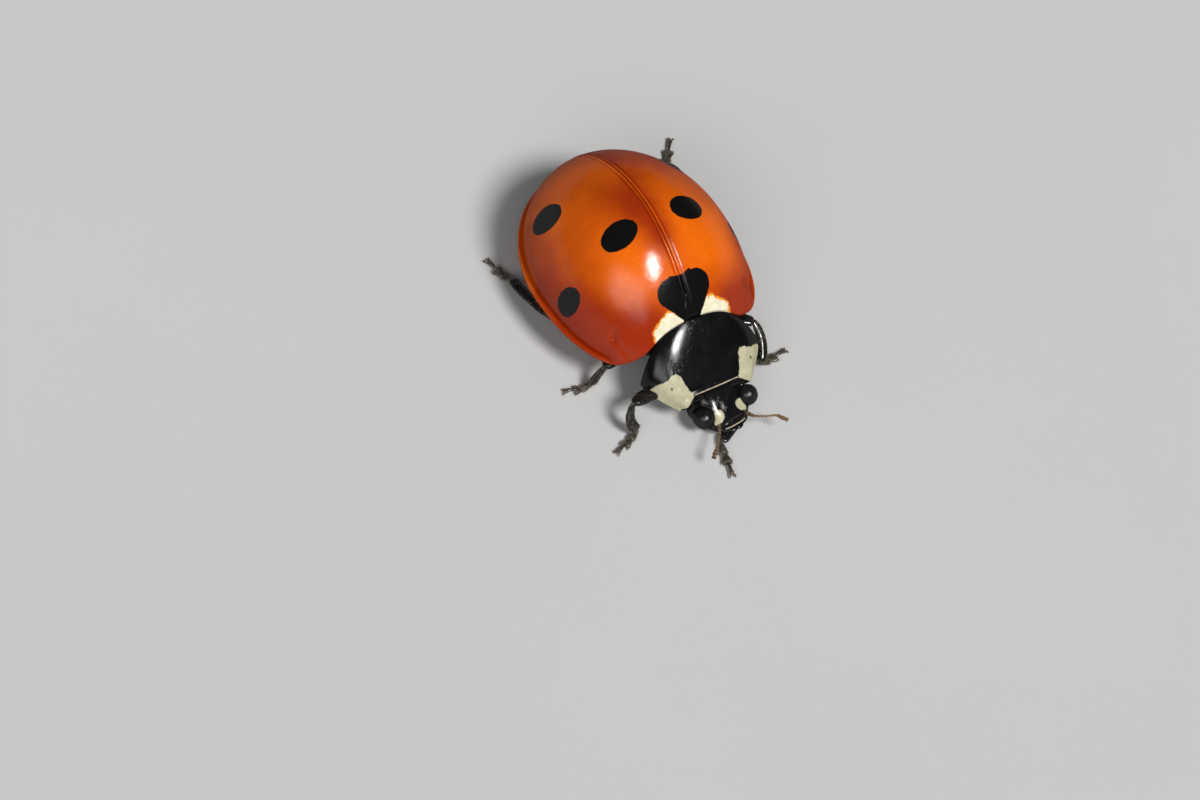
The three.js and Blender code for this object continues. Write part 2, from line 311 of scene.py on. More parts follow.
cuticle = {  # what a finish below doesn't say itself: grains for each mm, depths in mm, colours
    "cloud": 2.5, "waves": 3.0, "waveDepth": 0.006, "pits": 16, "pitDepth": 0.003, "coatRoughness": 0.13,
    "creamTones": ((0.44, 0.42, 0.275), (0.37, 0.345, 0.225)), "creamSpecks": (0.34, 0.29, 0.17),
    "paleSoft": 0.02,
}
cuticleLooks = {
    "shieldBlack": {
        "tone": blackTone, "second": (0.006, 0.0055, 0.006), "cream": 0.035, "pale": (0.4, 0.35, 0.24),
        "paleSoft": 0.005, "roughness": (0.15, 0.2), "coat": 0.1116, "waves": 2.0, "waveDepth": 0.004,
        "pits": 20, "pitDepth": 0.0016},
    "headBlack": {
        "tone": blackTone, "second": (0.007, 0.006, 0.006), "cream": 0.018, "pale": (0.38, 0.32, 0.21),
        "paleSoft": 0.005, "roughness": (0.15, 0.22), "coat": 0.1364, "waveDepth": 0.003,
        "pits": 22, "pitDepth": 0.0022},
    "bellyBlack": {
        "tone": (0.008, 0.007, 0.007), "second": (0.018, 0.014, 0.012), "cream": 0.03,
        "roughness": (0.3, 0.45), "coat": 0.093, "pits": 11, "pitDepth": 0.006},
    "legBlack": {
        "tone": (0.006, 0.0055, 0.0055), "second": (0.017, 0.014, 0.012), "pale": (0.085, 0.078, 0.06),
        "roughness": (0.2, 0.32), "coat": 0.1364, "waves": 9, "waveDepth": 0.004, "pits": 18},
    "footBrown": {
        "tone": (0.014, 0.012, 0.01), "second": (0.042, 0.033, 0.026), "pale": (0.075, 0.065, 0.052),
        "roughness": (0.3, 0.48), "coat": 0.186, "waves": 12, "waveDepth": 0.005, "pits": 26, "cloud": 6},
    "feelerBrown": {
        "tone": (0.2, 0.115, 0.045), "second": (0.33, 0.2, 0.085), "pale": (0.055, 0.032, 0.018),
        "roughness": (0.36, 0.5), "coat": 0.093, "waves": 14, "waveDepth": 0.003, "pits": 30, "cloud": 7},
    "eyeBlack": {
        "tone": (0.003, 0.0028, 0.0034), "second": (0.01, 0.008, 0.009), "roughness": (0.16, 0.26),
        "coat": 0.1364, "coatRoughness": 0.22, "waves": 4, "waveDepth": 0.001,
        "pits": 48, "pitDepth": 0.0012},
    "clawAmber": {
        "tone": (0.085, 0.042, 0.018), "second": (0.15, 0.075, 0.03), "roughness": (0.22, 0.34),
        "coat": 0.248, "waves": 16, "waveDepth": 0.001},
    "bristlePale": {
        "tone": (0.2, 0.175, 0.125), "second": (0.32, 0.285, 0.21), "roughness": (0.4, 0.55),
        "coat": 0.062, "waveDepth": 0.0005, "pitDepth": 0.0003},
}


def cuticleFinish(name):
    # creamEdge and paleEdge mark where the cuticle turns cream or brown; on the legs paleEdge also carries a
    # painted highlight along their flanks
    look = {**cuticle, **cuticleLooks[name]}
    m, shader = newFinish(name)
    tone = blendColour(m, spread(m, grain(m, look["cloud"]), 0.35, 0.75), look["tone"], look["second"])
    if "cream" in look:
        cream = blendColour(m, spread(m, grain(m, 5, 3.0), 0.35, 0.75), *look["creamTones"])
        specks = spread(m, grain(m, 22, 2.0), 0.6, 0.72, 0.0, 0.3)
        cream = blendColour(m, specks, cream, look["creamSpecks"])
        tone = blendColour(m, insideMark(m, "creamEdge", look["cream"], 10, 0.012), tone, cream)
    if "pale" in look:
        soft = look["paleSoft"]
        tone = blendColour(m, insideMark(m, "paleEdge", soft, 12, soft), tone, look["pale"])
    colourOf(m, shader, tone)
    pitted = spread(m, pits(m, look["pits"]), 0.0, 0.34)
    waves = grain(m, look["waves"], 2.0)
    bumpy(m, shader, [(waves, look["waveDepth"]), (pitted, look["pitDepth"]), (grain(m, 70, 2.0), 0.0008)])
    glossy(m, shader, look, 9)
    return m


finish = {"lacquer": wingCaseFinish(lacquerLook), **{name: cuticleFinish(name) for name in cuticleLooks}}
print("finishes made")


# wing cases

endless = 1e6  # as a width in mm, makes a hill into a ridge


def hills(x, y, table):
    # a row holds the height of a hill, its place and its widths
    return sum(height * hill((x - px, wx), (y - py, wy)) for height, px, py, wx, wy in table)


wingCases = {
    "halfWidth": 2.66, "rearReach": 3.31, "frontReach": 3.3, "rearPower": 1.96, "frontPower": 2.44,
    "rimHeight": 1.28, "rise": 2.73, "steepness": 1.28, "frontSteepness": 0.5, "thickness": 0.1,
    # columns beside the seam
    "strip": 0.14, "stripX": [0.008, 0.013, 0.019, 0.027, 0.037, 0.049, 0.063, 0.08, 0.1, 0.12],
    "baseRays": 76, "rimRays": 190, "corner": -51.5, "baseEnd": -25, "cornerRound": 0.05,
    "domeRows": 120, "rimElevation": 5.0, "innerRows": 22, "innerElevation": 14,
    "gutter": 0.115, "gutterWidth": 17,
    "relief": [(-0.024, 0.082, 0, 0.022, endless), (0.01, 0.045, 0, 0.018, endless),
               (-0.034, 0.008, 0, 0.011, endless), (0.035, 1.95, -2.42, 0.26, 0.26),
               (-0.045, 1.88, -2.13, 0.09, 0.09)],
    "crease": ((1.88, -2.16), (1.66, -2.7)), "creaseDepth": 0.02, "creaseWidth": 0.045,
    # the raised rim, the flat band under it and the inner side, as offsets outwards and up
    "rimShape": [(-0.098, 0.092), (-0.08, 0.084), (-0.06, 0.086), (-0.04, 0.094), (-0.022, 0.092),
                 (-0.008, 0.078), (0.0, 0.05), (-0.001, 0.02), (-0.012, -0.004), (-0.035, -0.016),
                 (-0.08, -0.012), (-0.15, -0.016), (-0.24, -0.04), (-0.33, -0.072), (-0.4, -0.1),
                 (-0.435, -0.104), (-0.45, -0.085), (-0.45, -0.02)],
    # the same rows where the case meets the shield: a plain edge
    "baseShape": [(0.0, -0.003), (0.004, -0.01), (0.004, -0.02), (0.002, -0.03), (0, -0.04), (0, -0.05),
                  (0, -0.06), (0, -0.068), (-0.002, -0.076), (-0.006, -0.082), (-0.012, -0.087),
                  (-0.02, -0.09), (-0.04, -0.09), (-0.06, -0.09), (-0.08, -0.09), (-0.1, -0.09),
                  (-0.12, -0.09), (-0.14, -0.09)],
}
waist = {"y": -2.73, "sweep": 0.42, "gap": 0.03, "shoulderY": -2.79, "shoulderX": 1.2, "shoulderSweep": 0.45}
pattern = {
    # centre and half axes of each oval spot
    "spots": [((0.955, -0.6, 3.69), (0.45, -0.085, -0.2), (0.06, 0.34, 0.05)),
              ((2.38, -0.79, 2.12), (0.17, 0.06, -0.42), (0.02, 0.31, 0.05)),
              ((1.82, 1.3, 2.72), (0.3, 0.17, -0.44), (-0.2, 0.31, 0.02)),
              ((0.325, -2.22, 2.87), (0.385, -0.03, -0.05), (0.03, 0.325, 0.21))],
    # the middle of the spot that both cases share
    "sharedSpot": [(-0.2, -1.95), (0.1, -1.95), (0.3, -1.9), (0.58, -2.4), (0.4, -2.56), (0.22, -2.72),
                   (-0.2, -2.72)],
    "cream": [(0.2, -2.9), (0.2, -2.69), (0.34, -2.6), (0.5, -2.49), (0.66, -2.49), (0.86, -2.57),
              (1.03, -2.62), (1.05, -2.9)],
    "creamRim": 0.04,
    # base red of the cases; steep is the strength of the painted shade down their steep sides
    "rednessAndShading": 0.4, "steep": 0.3,
    # painted shade in the crease before each shoulder: its strength, width and line
    "crease": 0.4, "creaseWidth": 0.06, "creaseLine": ((1.89, -2.1), (1.66, -2.7)),
    # painted light and shade: shade over the shoulders, a pool of light on the front of the disc, a highlight
    # on the bead beside the seam and shade by the groove next to it
    "paintedLightAndShade": [(0.38, 1.25, -2.5, 0.75, 0.55), (-0.48, 1.0, -1.3, 0.8, 0.8),
                (-0.36, 0.045, 0, 0.022, endless), (0.26, 0.095, 0, 0.03, endless)],
    # painted shade of each case beside the seam, on its low side and towards the tail, where the right case
    # is lighter instead
    "left": {"seam": 0.42, "seamWidth": 0.4, "low": 0.2, "lowFrom": 0.6, "rear": 0.3},
    "right": {"seam": 0.66, "seamWidth": 0.72, "low": 0.4, "lowFrom": 0.5, "rear": -0.15},
}


def outlineRadius(bearing):
    w = wingCases
    ahead = sin(bearing) < 0
    n = where(ahead, w["frontPower"], w["rearPower"])
    reach = where(ahead, w["frontReach"], w["rearReach"])
    return (abs(cos(bearing) / w["halfWidth"]) ** n + abs(sin(bearing) / reach) ** n) ** (-1 / n)


def steepness(bearing):
    return wingCases["steepness"] + wingCases["frontSteepness"] * maximum(0, -sin(bearing)) ** 2


def domeHeight(x, y, inset=0.0):
    bearing = np.arctan2(y, x)
    rho = hypot(x, y) / (outlineRadius(bearing) - inset)
    share = maximum(0, 1 - rho**2) ** (steepness(bearing) / 2)
    return wingCases["rimHeight"] + (wingCases["rise"] - inset) * share


def baseEdge(x, gap=0.0):
    # rear edge of the shield
    return waist["y"] - waist["sweep"] * abs(x / shield["rearHalf"]) ** 4 + gap


def caseEdge(x):
    # front edge of the wing cases: behind the shield, then back round the shoulders
    shoulder = waist["shoulderY"] + waist["shoulderSweep"] * maximum(0, abs(x) - waist["shoulderX"]) ** 2
    behind = baseEdge(x, waist["gap"])
    return maximum(behind, shoulder) + 0.02 * hill((behind - shoulder, 0.05))


def ellipseEdge(points, centre, long, short):
    # distance in mm outside an oval on a curved surface, given by its centre and half axes
    centre, long, short = (np.asarray(v, float) for v in (centre, long, short))
    a, b = np.linalg.norm(long), np.linalg.norm(short)
    d = points - centre
    u, v = d @ long / a**2, d @ short / b**2
    farSide = np.linalg.norm(d, axis=1) > 1.1  # beyond any spot's reach
    return where(farSide, 1.0, (hypot(u, v) - 1) * sqrt(a * b))


def polygonEdge(x, y, corners):
    # signed distance outside a polygon in plan
    best, inside = np.full(x.shape, 9.0), np.zeros(x.shape, bool)
    for (ax, ay), (bx, by) in zip(corners, corners[1:] + corners[:1]):
        best = minimum(best, segmentDistance(x, y, (ax, ay), (bx, by)))
        inside ^= ((ay > y) != (by > y)) & (x < (bx - ax) * (y - ay) / (by - ay + 1e-12) + ax)
    return where(inside, -best, best)


def segmentDistance(x, y, start, end):
    ax, ay = start
    dx, dy = end[0] - ax, end[1] - ay
    t = clip(((x - ax) * dx + (y - ay) * dy) / (dx * dx + dy * dy), 0, 1)
    return hypot(x - ax - t * dx, y - ay - t * dy)


def wingCaseMarks(points, word):
    # points of either case laid on the +x side; besides the markings this paints shade and light into the
    # red, and the two cases differ in their painted shade
    x, y, z = points.T
    own = pattern[word]
    spots = [ellipseEdge(points, *spot) for spot in pattern["spots"]]
    spots.append(polygonEdge(x, y, pattern["sharedSpot"]))
    cream = polygonEdge(x, y, pattern["cream"])
    rho = hypot(x, y) / outlineRadius(np.arctan2(y, x))
    rednessAndShading = pattern["rednessAndShading"] + hills(x, y, pattern["paintedLightAndShade"])
    # painted shade: the red deepens down the steep sides, less so on the flat flange
    flange = smoothStep(0.965, 0.985, rho)
    rednessAndShading += pattern["steep"] * smoothStep(0.72, 1.0, rho) * (1 - 0.8 * flange)
    # painted shade along the crease before the shoulder
    toCrease = segmentDistance(x, y, *pattern["creaseLine"])
    rednessAndShading += pattern["crease"] * hill((toCrease, pattern["creaseWidth"]))
    # painted shade on the low side of each case, beside the seam and towards the tail (painted light there on
    # the right case)
    low = smoothStep(own["lowFrom"], 0.95, rho) * (smoothStep(1.2, -1.2, y) if word == "right" else 1)
    shadeBesideSeam = hill((x, own["seamWidth"])) * smoothStep(-1.9, -0.9, y)
    shadeBesideSeam *= 1 - 0.85 * smoothStep(-0.3, 1.2, y)
    rednessAndShading += own["low"] * low + own["seam"] * shadeBesideSeam + own["rear"] * smoothStep(0.0, 1.6, y)
    rim = cream - pattern["creamRim"]
    return {"spotEdge": np.min(spots, axis=0), "creamEdge": cream, "creamRim": rim, "rednessAndShading": rednessAndShading}


def wingCase(word):
    w = wingCases
    stripX = array(w["stripX"])
    count = len(stripX)
    front = math.atan2(float(caseEdge(w["strip"])), w["strip"])
    corner, rear = radians(w["corner"]), math.acos(w["strip"] / w["rearReach"])
    toFront = linspace(front, corner, w["baseRays"], endpoint=False)
    rays = concatenate([toFront, linspace(corner, rear, w["rimRays"])])
    # each ray ends at the base edge or the rim, whichever is nearer, with a rounded corner between them
    toBase = furthest(lambda r: r * sin(rays) > caseEdge(r * cos(rays)), rays, 9.0)
    toBase = where(rays < radians(w["baseEnd"]), toBase, 9.0)
    rim, k = outlineRadius(rays), w["cornerRound"]
    reach = -k * np.log(exp(-(rim - 3) / k) + exp(-(toBase - 3) / k)) + 3
    fanEnds = stack([reach * cos(rays), reach * sin(rays)], 1)
    rearY = w["rearReach"] * (1 - (stripX / w["halfWidth"]) ** w["rearPower"]) ** (1 / w["rearPower"])
    ends = np.vstack([stack([stripX, caseEdge(stripX)], 1), fanEnds, stack([stripX, rearY], 1)[::-1]])
    poles = np.zeros_like(ends)
    poles[:, 0] = w["strip"]
    poles[:count, 0] = stripX
    poles[-count:, 0] = stripX[::-1]
    rimShare = concatenate([np.zeros(count), smoothStep(-0.04, 0.1, toBase - rim), np.ones(count)])
    share = rimShare[:, None]
    outward = unit(stack([np.gradient(ends[:, 1]), -np.gradient(ends[:, 0])], 1))
    outward[:count], outward[-count:] = (0, -1), (0, 1)

    # the dome, from the crown out to the gutter inside the rim
    e = radians(linspace(90, w["rimElevation"], w["domeRows"]))
    out = cos(e) / cos(e[-1])
    out = out[None, :, None] * (1 - share[:, None]) + cos(e)[None, :, None] * share[:, None]
    flat = poles[:, None] + (ends - poles)[:, None] * out
    z = domeHeight(flat[..., 0], flat[..., 1])
    inset = w["gutter"] * hill((np.degrees(e), w["gutterWidth"]))[None, :, None] * share[:, None]
    dome = concatenate([flat - outward[:, None] * inset, z[..., None]], 2)
    step = 1e-3
    slopeX = (domeHeight(flat[..., 0] + step, flat[..., 1]) - z) / step
    slopeY = (domeHeight(flat[..., 0], flat[..., 1] + step) - z) / step
    normal = unit(stack([-slopeX, -slopeY, np.ones_like(z)], 2))
    x, y = dome[..., 0], dome[..., 1]
    lift = hills(x, y, w["relief"])
    lift -= w["creaseDepth"] * hill((segmentDistance(x, y, *w["crease"]), w["creaseWidth"]))
    dome += normal * lift[..., None]

    rimShape, baseShape = array(w["rimShape"])[None], array(w["baseShape"])[None]
    baseZ = where(rimShare < 1, z[:, -1], 0)[:, None] + baseShape[..., 1]
    offset = rimShape[..., 0] * share + baseShape[..., 0] * (1 - share)
    lipZ = (w["rimHeight"] + rimShape[..., 1]) * share + baseZ * (1 - share)
    lip = concatenate([ends[:, None] + outward[:, None] * offset[..., None], lipZ[..., None]], 2)

    back = radians(linspace(w["innerElevation"], 90, w["innerRows"]))
    innerEnd = ends - outward * (0.16 + 0.1 * share)
    flatIn = poles[:, None] + (innerEnd - poles)[:, None] * cos(back)[None, :, None]
    innerZ = domeHeight(flatIn[..., 0], flatIn[..., 1]) - w["thickness"]
    innerZ = minimum(innerZ, domeHeight(flatIn[..., 0], flatIn[..., 1], 0.3) + 0.2)
    inner = concatenate([flatIn, innerZ[..., None]], 2)

    sheet = concatenate([dome, lip, inner], 1)
    columns, rows = sheet.shape[:2]
    points = sheet.reshape(-1, 3)
    faces = gridFaces(columns, rows)
    # close the seam side: the first and last columns form one flat loop in the plane of the seam
    lastDome, firstInner, walls = w["domeRows"] - 1, rows - w["innerRows"], w["innerRows"] - 1
    rings = [list(range(lastDome, firstInner + 1))]
    for j in range(walls):  # from inner row j to the outer rows beside it
        high, low = (lastDome - round(i * lastDome / walls) for i in (j, j + 1))
        rings.append([firstInner + j, firstInner + j + 1, *range(low, high + 1)])
    for base in (0, (columns - 1) * rows):
        faces += [[base + i for i in (ring if base == 0 else reversed(ring))] for ring in rings]
    return (points * (sides[word], 1, 1), faces), wingCaseMarks(points, word)


scutellum = {"frontY": -2.67, "length": 0.35, "half": 0.215, "tip": 0.004, "depth": 0.12, "columns": 33}


def buildWingCases():
    for word in sides:
        skin, marks = wingCase(word)
        makePiece("wingCase_" + word, skin, "lacquer", marks, ["elytron_" + word])
    # the scutellum, a small plate between the roots of the wing cases
    u, v = np.meshgrid(linspace(-1, 1, scutellum["columns"]), linspace(0, 1, scutellum["columns"]))
    x = u * (scutellum["half"] * (1 - v**1.25) + scutellum["tip"])
    y = scutellum["frontY"] + scutellum["length"] * v
    top = domeHeight(x, y) - 0.012 + 0.03 * (1 - abs(u) ** 2.5) * (1 - v) ** 0.5 - 0.02 * abs(u) ** 6
    lower = stack([x[:, ::-1] * 0.97, y, top[:, ::-1] - scutellum["depth"]], 2)
    grid = concatenate([stack([x, y, top], 2), lower], 1)
    caps = [row * [0, 1, 0] + [0, 0, row[0, :, 2].mean()] for row in (grid[:1], grid[-1:])]
    grid = concatenate([caps[0], grid, caps[1]])
    makePiece("scutellumPlate", joinParts(grid), "shieldBlack", nodes=["scutellum"])
    print("wing cases made")


# shield (pronotum)

shield = {
    "rearHalf": 1.64, "narrowing": 0.62, "taper": 2.1, "frontY": -4.06, "length": 1.38,
    "across": 170, "along": 96,
    "lobe": 0.14, "corner": 0.12, "crestZ": 2.33, "crestFall": 1.32, "marginZ": 1.13, "marginFall": 0.4,
    "beads": [(0.012, 0.03, 0.025), (-0.014, 0.085, 0.03)],  # height, distance from the front and width
    "cream": [(1.75, -3.4), (1.52, -3.42), (1.4, -3.49), (1.25, -3.555), (1.11, -3.57), (1.02, -3.54),
              (0.92, -3.54), (0.82, -3.62), (0.79, -3.73), (0.74, -3.88), (0.64, -4.02), (0.6, -4.2),
              (1.4, -4.3), (1.8, -3.8)],
    "speckAt": (1.12, -3.76), "speckSize": 0.02, "lineHalf": 0.62, "lineWidth": 0.006,
}
keel = {"centreY": -3.34, "centreZ": 1.18, "half": (1.18, 0.59, 0.47), "below": 0.36}


def shieldHalf(t):
    return shield["rearHalf"] - shield["narrowing"] * t ** shield["taper"]


def shieldTop(s, t):
    # s runs from -1 to 1 across the shield, t from 0 at its rear edge to 1 at its front edge
    x, side = s * shieldHalf(t), abs(s)
    rearY = baseEdge(x)
    lobe = shield["lobe"] * smoothStep(0.6, 0.88, side) - shield["corner"] * smoothStep(0.88, 1.0, side)
    y = rearY + (shield["frontY"] + 0.04 * s**2 - lobe - rearY) * t
    bulge = maximum(0, 1 - side ** (2.2 + 2.8 * t)) ** (0.8 - 0.1 * t)
    margin = shield["marginZ"] - shield["marginFall"] * t**1.6
    crest = shield["crestZ"] - shield["crestFall"] * t + 0.11 * (1 - exp(-t / 0.2))
    return x, y, margin + (crest - margin) * bulge


def buildShield():
    s = sin(linspace(-math.pi / 2, math.pi / 2, shield["across"]))
    s, t = np.meshgrid(s, linspace(0, 1, shield["along"]))
    x, y, top = shieldTop(s, t)
    side, toFront = abs(s), (1 - t) * shield["length"]
    z = top + sum(height * hill((toFront - at, width)) for height, at, width in shield["beads"])
    z = z - 0.03 * smoothStep(0.03, 0.0, toFront) - 0.025 * smoothStep(0.03, 0.0, t * shield["length"])
    z = z - 0.01 * hill((side - 0.972, 0.012))
    upper = stack([x, y, z], 2)
    # the turned-in sides start just under the margin
    lowerZ = minimum(top - 0.3 + 0.24 * side**3, z - 0.05)
    lower = stack([x * (1 - 0.3 * s**2), y, lowerZ], 2)
    grid = concatenate([upper, lower[:, ::-1]], 1)
    front = grid[-1:] + (grid[-1].mean(0) - grid[-1:]) * 0.03
    grid = concatenate([grid[:1] * 0 + grid[0].mean(0), grid, front, front * 0 + front[0].mean(0)])
    px, py, pz = np.moveaxis(grid, -1, 0)
    cream = polygonEdge(abs(px), py, shield["cream"])
    speckX, speckY = shield["speckAt"]
    cream = maximum(cream, shield["speckSize"] - hypot(abs(px) - speckX, (py - speckY) / 1.8))
    cream[:, shield["across"]:] = 0.1  # the lower side and the front face stay black
    cream[-2:] = 0.1
    frontLine = abs(py + 4.046 - 0.04 * (px / 1.02) ** 2) - shield["lineWidth"]
    frontLine = where((abs(px) < shield["lineHalf"]) & (pz > 1.0), frontLine, 0.3)
    marks = {"creamEdge": cream, "paleEdge": frontLine}
    makePiece("shieldPlate", joinParts(grid), "shieldBlack", marks, ["pronotum"], sharpAngle=40)

    # underside of the prothorax, with a ridge between the front legs
    x, y, z = (half * v for half, v in zip(keel["half"], unitBall(72, 48)))
    below = (z < 0) * sqrt(1 - (z / keel["half"][2]) ** 2)
    y = y + keel["centreY"]
    z = z + keel["centreZ"] + (0.02 * hill((abs(x) - 0.2, 0.05)) - 0.03 * hill((x, 0.11))) * below
    share = clip((y - baseEdge(x)) / (shield["frontY"] - baseEdge(x)), 0, 1)
    roof = shieldTop(clip(x / shieldHalf(share), -0.99, 0.99), share)[2]
    grid = stack([x, y, minimum(z, roof - keel["below"])], 2)
    makePiece("prothoraxKeel", joinParts(grid), "bellyBlack", nodes=["prothorax"])
    print("shield made")


# belly

belly = {
    "inset": 0.56, "depth": 0.47, "power": 0.75, "around": 320, "rowsAbove": 14, "rowsBelow": 150,
    "front": -2.6, "segments": [-1.25, 0.3, 0.95, 1.5, 2.00, 2.4], "step": 0.035,
    # cream plates at the sides of the thorax
    "plates": [[(1.45, -1.95), (2.0, -1.85), (2.05, -1.35), (1.5, -1.25)],
               [(1.7, -0.15), (2.05, -0.2), (2.05, 0.2), (1.72, 0.25)]],
}


def bellyRelief(x, y):
    lift = np.zeros_like(x)
    front = np.full_like(x, belly["front"])
    for i, at in enumerate(belly["segments"]):
        edge = at + (0.06 if i > 1 else -0.05) * x**2
        share = smoothStep(0.0, 1.0, (y - front) / maximum(edge - front, 0.05))
        lift += where((y < edge) & (y >= front), belly["step"] * share**3, 0)
        lift -= 0.03 * hill((y - edge - 0.015, 0.018))
        front = edge
    lift += where(y >= front, 0.02 * smoothStep(0, 0.7, y - front), 0)
    # the groove down the middle, the arcs behind the hind legs and the plates' edges
    lift -= 0.035 * hill((x, 0.035)) * smoothStep(-1.2, -0.9, y) * smoothStep(0.3, 0.1, y)
    arc = abs(hypot(abs(x) - 0.75, (y - 0.35) * 1.3) - 0.42)
    lift += 0.012 * hill((arc, 0.02)) * (y > 0.4) * (y < 0.95)
    lift -= 0.03 * hill((abs(x) - 1.42 - 0.1 * y, 0.022)) * (y < 0.35) * (y > belly["front"])
    return lift


def bellySurface(x, y, elevation):
    relief = bellyRelief(x, y) * smoothStep(0, -0.5, elevation)
    return wingCases["rimHeight"] + belly["depth"] * sin(elevation) - relief


def buildBelly():
    above = linspace(90, 0, belly["rowsAbove"], endpoint=False)
    below = -linspace(0, 90, belly["rowsBelow"])
    b, e = np.meshgrid(bearings(belly["around"]), radians(concatenate([above, below])))
    above = e >= 0
    reach = (outlineRadius(b) - belly["inset"]) * maximum(cos(e), 0) ** where(above, 1, belly["power"])
    x, y = reach * cos(b), reach * sin(b)
    top = (wingCases["rise"] - belly["inset"]) * maximum(0, sin(e)) ** steepness(b)
    z = where(above, wingCases["rimHeight"] + top, bellySurface(x, y, e))
    limit = baseEdge(x, 0.09)
    y = maximum(y, limit)
    z = where(y <= limit + 1e-6, minimum(z, domeHeight(x, limit) - 0.6), z)
    cream = np.min([polygonEdge(abs(x), y, plate) for plate in belly["plates"]], axis=0)
    cream = where(z < 1.3, cream, 0.5)
    nodes = ["mesothorax", "metathorax"] + [f"abdomen_{i}" for i in range(1, 6)]
    makePiece("bellySkin", joinParts(stack([x, y, z], 2)), "bellyBlack", {"creamEdge": cream}, nodes)
    print("belly made")


# head

head = {
    "startY": -4.05, "midZ": 0.345, "ahead": 0.84, "behind": 0.6, "half": 0.73, "rise": 0.7, "drop": 0.03,
    "roundness": 0.69, "turn": 6.5, "turnFrom": -3.9, "turnTo": -4.4, "aside": 0.02,
    "eyeAt": (0.66, -4.4, 0.67), "eyeHalf": (0.2632, 0.28, 0.2744), "facets": 620, "lens": 1.1,
    "antennaAt": (0.4, -4.74, 0.49), "clypeusZ": 0.56,
    "spotAt": (0.345, -4.57), "spotSize": 0.145, "lineZ": 0.44, "lineHalf": 0.3, "lineWidth": 0.012,
}
lip = {"centreY": -4.81, "centreZ": 0.355, "half": (0.25, 0.16, 0.065), "notch": 0.03}


def turned(points):
    # the head looks a few degrees to its own left
    a = radians(head["turn"])
    pivot = array((0, head["turnFrom"], 0))
    p = np.asarray(points, float)
    x, y, z = np.moveaxis(p - pivot, -1, 0)
    share = smoothStep(head["turnFrom"], head["turnTo"], p[..., 1])
    c, s = cos(a * share), sin(a * share)
    return stack([x * c - y * s + head["aside"] * share, x * s + y * c, z], -1) + pivot


def headShare(x, y):
    # 0 on the middle of the head, 1 on its outline in plan; broad across, rounded from back to front
    reach = where(y < 0, head["ahead"], head["behind"])
    return abs(y / reach) ** 1.2 + abs(x / head["half"]) ** 3.5


def distanceTo(centre, *coordinates):
    return sqrt(sum((v - c) ** 2 for v, c in zip(coordinates, centre)))


def buildHead():
    b, e = ballGrid(240, 140)
    outline = furthest(lambda r: headShare(r * cos(b), r * sin(b)) < 1, b, 2.0)
    reach = outline * maximum(cos(e), 0)
    x, y = reach * cos(b), reach * sin(b)
    bulge = maximum(0, 1 - headShare(x, y)) ** head["roundness"]
    z = head["midZ"] + where(e > 0, head["rise"], -head["drop"]) * bulge
    y = y + head["startY"]
    side = abs(x)
    throat = 0.02 * hill((side - 0.17, 0.04)) + 0.016 * hill((y + 4.58, 0.05))
    z = z - where(e < 0, throat * bulge, 0)
    # a low ring round each eye, a ringed pit at the root of each feeler, the clypeus's groove and two dents
    lift = 0.014 * hill((distanceTo(head["eyeAt"], side, y, z) - 0.295, 0.022))
    antenna = distanceTo(head["antennaAt"], side, y, z)
    lift += 0.01 * hill((antenna - 0.11, 0.025)) - 0.035 * hill((antenna, 0.07))
    lift -= 0.014 * hill((z - head["clypeusZ"] + 0.3 * x**2, 0.02)) * (side < 0.3) * (y < -4.5)
    lift -= 0.015 * hill((side - 0.2, 0.1), (y + 4.45, 0.12)) * (z > 0.6)
    away = unit(stack([x, y + 4.1, (z - head["midZ"]) * 1.5 + 0.05], 2))
    grid = stack([x, y, z], 2) + away * lift[..., None]
    px, py, pz = np.moveaxis(grid, -1, 0)
    spotX, spotY = head["spotAt"]
    spots = (abs(abs(px) - spotX) ** 2.5 + abs((py - spotY) / 0.8) ** 2.5) ** 0.4 - head["spotSize"]
    spots = where(pz > 0.4, spots, 0.4)
    line = abs(pz - head["lineZ"]) - head["lineWidth"]
    line = where((abs(px) < head["lineHalf"]) & (py < -4.5), line, 0.3)
    marks = {"creamEdge": spots, "paleEdge": line}
    makePiece("headCapsule", joinParts(turned(grid)), "headBlack", marks, ["head"])

    # faceted eyes: a dense ball with a low lens over each facet
    golden = math.pi * (3 - sqrt(5))
    k = np.arange(head["facets"])
    fz = 1 - 2 * (k + 0.5) / head["facets"]
    facets = stack([sqrt(1 - fz**2) * cos(golden * k), sqrt(1 - fz**2) * sin(golden * k), fz], 1)
    ball = stack(unitBall(200, 110), 2)
    nearest = clip(np.max(ball @ facets.T, axis=2), -1, 1)
    skin = ball * array(head["eyeHalf"]) * (1 - np.arccos(nearest) ** 2 * head["lens"])[..., None]
    for word, side in sides.items():
        grid = turned(skin + array(head["eyeAt"]) * (side, 1, 1))
        makePiece("eye_" + word, joinParts(grid), "eyeBlack", {}, ["eye_" + word])

    # upper lip: a flat oval with a notched front edge
    u, v, w = unitBall(80, 30)
    x = lip["half"][0] * u
    y = lip["centreY"] + lip["half"][1] * v + lip["notch"] * hill((x, 0.05)) * (v < 0)
    z = lip["centreZ"] + lip["half"][2] * np.sign(w) * abs(w) ** 0.8
    makePiece("upperLip", joinParts(turned(stack([x, y, z], 2))), "headBlack", nodes=["labrum"])
    print("head made")


# feelers and palps

